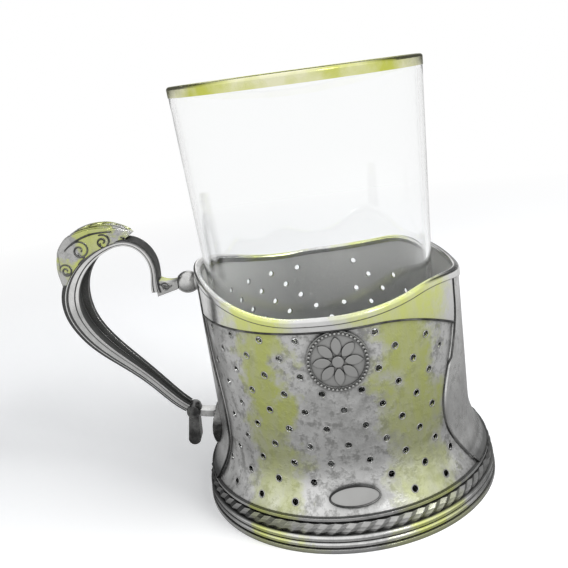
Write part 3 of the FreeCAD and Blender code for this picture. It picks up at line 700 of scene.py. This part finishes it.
# The floor turns plain white between the two distances, and metal mirrors it dimmer near the object:
# painted shade in its reflection
FLOOR_RADIUS = 3.0
FLOOR_SIDES = 96
FLOOR_DROP = 0.02 * MM
FLOOR_WHITENS = (0.22, 0.5)
FLOOR_GLOW = 0.24
FLOOR_MIRRORED_BETWEEN = (0.06, 0.25)
FLOOR_MIRRORED = (0.3, 0.75)


def look_matrix():
    """The camera's place and axes from its turn, tilt and roll."""
    flat = Vector((math.sin(CAMERA_TURN), math.cos(CAMERA_TURN), 0.0))
    forward = flat * math.cos(CAMERA_DOWN) - Z_AXIS * math.sin(CAMERA_DOWN)
    right = Vector((math.cos(CAMERA_TURN), -math.sin(CAMERA_TURN), 0.0))
    up = right.cross(forward)
    rolled_right = right * math.cos(CAMERA_ROLL) + up * math.sin(CAMERA_ROLL)
    rolled_up = up * math.cos(CAMERA_ROLL) - right * math.sin(CAMERA_ROLL)
    turn = Matrix((rolled_right, rolled_up, -forward)).transposed()
    return Matrix.Translation(CAMERA_PLACE) @ turn.to_4x4()


def make_camera():
    data = bpy.data.cameras.new("camera")
    data.sensor_width = CAMERA_SENSOR
    data.lens = CAMERA_LENS
    data.shift_y = CAMERA_SHIFT_Y
    data.clip_start = CAMERA_CLIP
    camera = bpy.data.objects.new("camera", data)
    camera.matrix_world = look_matrix()
    bpy.context.scene.collection.objects.link(camera)
    bpy.context.scene.camera = camera


def make_lamp(name, place, size, power, mirrored=True):
    """A soft square lamp aimed at the object. Metal shows it only where mirrored says so."""
    data = bpy.data.lights.new(name, "AREA")
    data.shape = "SQUARE"
    data.size = size
    data.energy = power
    lamp = bpy.data.objects.new(name, data)
    lamp.visible_glossy = mirrored
    place = Vector(place)
    aim = (-place).to_track_quat("-Z", "Y").to_matrix()
    lamp.matrix_world = Matrix.Translation(place) @ aim.to_4x4()
    bpy.context.scene.collection.objects.link(lamp)


def seen_rays(graph):
    """Two masks: all rays by which something is seen, and of those the ones mirrored by a surface."""
    path = graph.add("ShaderNodeLightPath").outputs
    through = path["Is Transmission Ray"]
    mirrored = graph.math("MULTIPLY", path["Is Glossy Ray"], graph.math("SUBTRACT", 1.0, through))
    seen = graph.math("MAXIMUM", path["Is Camera Ray"], mirrored)
    return graph.math("MAXIMUM", seen, through), mirrored


def make_world():
    """A white room, which metal mirrors with less light in front and a dark card on each side."""
    world = bpy.data.worlds.new("room")
    bpy.context.scene.world = world
    graph = Graph(world)
    x, y, z = graph.split(graph.add("ShaderNodeTexCoord").outputs["Generated"])
    seen, mirrored = seen_rays(graph)
    room = graph.levels(y, *ROOM_BRIGHTENS, ROOM_FRONT, 1.0)
    turn = graph.math("ARCTAN2", graph.math("ABSOLUTE", x), y)
    card = graph.math("MULTIPLY", graph.levels(turn, *CARD_BEGINS), graph.levels(turn, *CARD_ENDS))
    card = graph.math("MULTIPLY", card, graph.levels(z, *CARD_TOP))
    dimmed = graph.math("MULTIPLY", room, graph.levels(card, 0.0, 1.0, 1.0, CARD_LIGHT))
    shown = graph.background(WHITE, graph.levels(mirrored, 0.0, 1.0, 1.0, dimmed))
    falling = graph.background(FALLING_COLOUR, FALLING_STRENGTH)
    graph.add("ShaderNodeOutputWorld", {0: graph.blend(seen, falling, shown)})


def floor_material():
    """A matt white floor that keeps the shadow and turns plain white further off."""
    graph = new_graph("floor")
    x, y = graph.split(graph.place())[:2]
    away = graph.math("ADD", graph.math("MULTIPLY", x, x), graph.math("MULTIPLY", y, y))
    away = graph.math("SQRT", away)
    colour = graph.mix(graph.levels(graph.noise(**CLOTH), *CLOTH_SHOWS), *FLOOR_GREYS)
    matt = graph.add("ShaderNodeBsdfDiffuse", {"Color": colour}).outputs[0]
    near = graph.add("ShaderNodeAddShader", {0: matt, 1: graph.emission(FLOOR_GLOW)}).outputs[0]
    shown = graph.blend(graph.levels(away, *FLOOR_WHITENS), near, graph.emission(1.0))
    seen, mirrored = seen_rays(graph)
    # Painted shade: what metal mirrors of the floor is dimmer near the object
    shaded_floor_reflection = graph.emission(graph.levels(away, *FLOOR_MIRRORED_BETWEEN, *FLOOR_MIRRORED))
    shown = graph.blend(mirrored, shown, shaded_floor_reflection)
    graph.add("ShaderNodeOutputMaterial", {"Surface": graph.blend(seen, matt, shown)})
    return graph.owner


def make_floor():
    """A wide round floor."""
    mesh = bpy.data.meshes.new("floor")
    shape = bmesh.new()
    bmesh.ops.create_circle(shape, cap_ends=True, segments=FLOOR_SIDES, radius=FLOOR_RADIUS)
    shape.to_mesh(mesh)
    shape.free()
    floor = bpy.data.objects.new("floor", mesh)
    floor.location.z = -FLOOR_DROP
    bpy.context.scene.collection.objects.link(floor)
    mesh.materials.append(floor_material())


# Finishes on the CAD nodes and the new pieces

def silvers():
    """Every finish of the silver."""
    return {
        # Painted light: the sleeve and the side plates get a lighter, matter silver on their insides
        "sleeve": silver("sleeve_silver", roughness=0.34, patina=1.0, ground=0.05 * MM, streak=1.0,
                         speckle=1.0, lightened_inside=True),
        "plate": silver("plate_silver", patina=0.9, speckle=0.6, darker_low=LOW_DARKENING, lightened_inside=True),
        "plain": silver("plain_silver", patina=0.9, speckle=0.4),
        "bright": silver("bright_silver", base=POLISHED, roughness=0.18, streak=1.0, spread=1.6,
                         gold=WARM_BRIGHT),
        # Painted shade: the foot goes black on faces turned to the side
        "foot": silver("foot_silver", base=POLISHED, roughness=0.18, patina=0.8, streak=1.7,
                       speckle=0.3, gold=WARM_BRIGHT, side_shade=(0.3, 0.65)),
        # Painted shade: all but the strap's front and back faces go black
        "strap": silver("strap_silver", base=POLISHED, roughness=0.2, patina=0.5,
                        side_shade=(0.94, 0.98)),
        # Painted shade: a darker copy of the silver under the worn gilding
        "gilt": silver("worn_gilt_shaded_silver", base=SILVER_SHADED, roughness=0.24, patina=1.0, gilt=1.0,
                       speckle=0.9),
        "relief": silver("dark_silver", base=SILVER_RELIEF, roughness=0.33, patina=0.8,
                         ground=0.03 * MM, streak=0.4),
        # Painted shade: the rope is a dimmed silver and goes black on faces turned to the side
        "rope": silver("rope_silver", base=SILVER_ROPE_DIMMED, roughness=0.3, patina=1.0, streak=0.6,
                       side_shade=(0.5, 0.8)),
        # Painted shade: near-black silver for the trim wires and the flank carving
        "black": silver("painted_shade_black_silver", base=SHADE_BLACK, roughness=0.35, patina=1.0),
        "drop": silver("drop_silver", base=SILVER_DROP, roughness=0.25, patina=1.0),
    }


def dress(material, *names):
    for name in names:
        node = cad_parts[name]
        node.data.materials.clear()
        node.data.materials.append(material)


def dress_nodes(metals):
    dress(metals["sleeve"], "front_panel", "back_panel")
    dress(metals["plate"], "far_side_plate", "handle_side_plate", "seat_plate")
    dress(metals["bright"], "front_collar", "back_collar", "rim_bead", "base_ring")
    dress(metals["foot"], "foot_ring")
    dress(metals["rope"], "foot_rope")
    dress(metals["plain"], "rim_lug", "lower_link")
    dress(metals["strap"], "handle_strap")
    dress(metals["gilt"], "thumb_rest", "scroll_leaf")
    dress(metals["relief"], "front_medallion", "back_medallion", "front_oval", "back_oval")
    dress(metals["drop"], "lower_knuckle", "lower_leaf", "tail_drop")
    dress(gilding(), "gilt_band")
    dress(clear_glass(), "tea_glass")


def add_detail(metals):
    """The wires, pearls and carving that are too fine for the CAD solids."""
    trim_wires(metals["black"])
    hole_rims(metals["plain"])
    pearl_ring("front_medallion", metals["relief"])
    pearl_ring("back_medallion", metals["relief"])
    carve_crown(metals["gilt"])
    carve_flanks("thumb_rest", flank_lines(), metals["black"])
    carve_flanks("scroll_leaf", scroll_lines(), metals["black"])
    carve_lower_leaf(metals["plain"])


bpy.context.scene.view_settings.view_transform = "Standard"
make_camera()
make_world()
make_lamp("key", place=(0.40, -0.22, 0.42), size=0.30, power=3.0, mirrored=False)
make_lamp("glint", place=(0.30, -0.50, 0.50), size=0.12, power=0.35)
make_floor()
finishes = silvers()
dress_nodes(finishes)
add_detail(finishes)
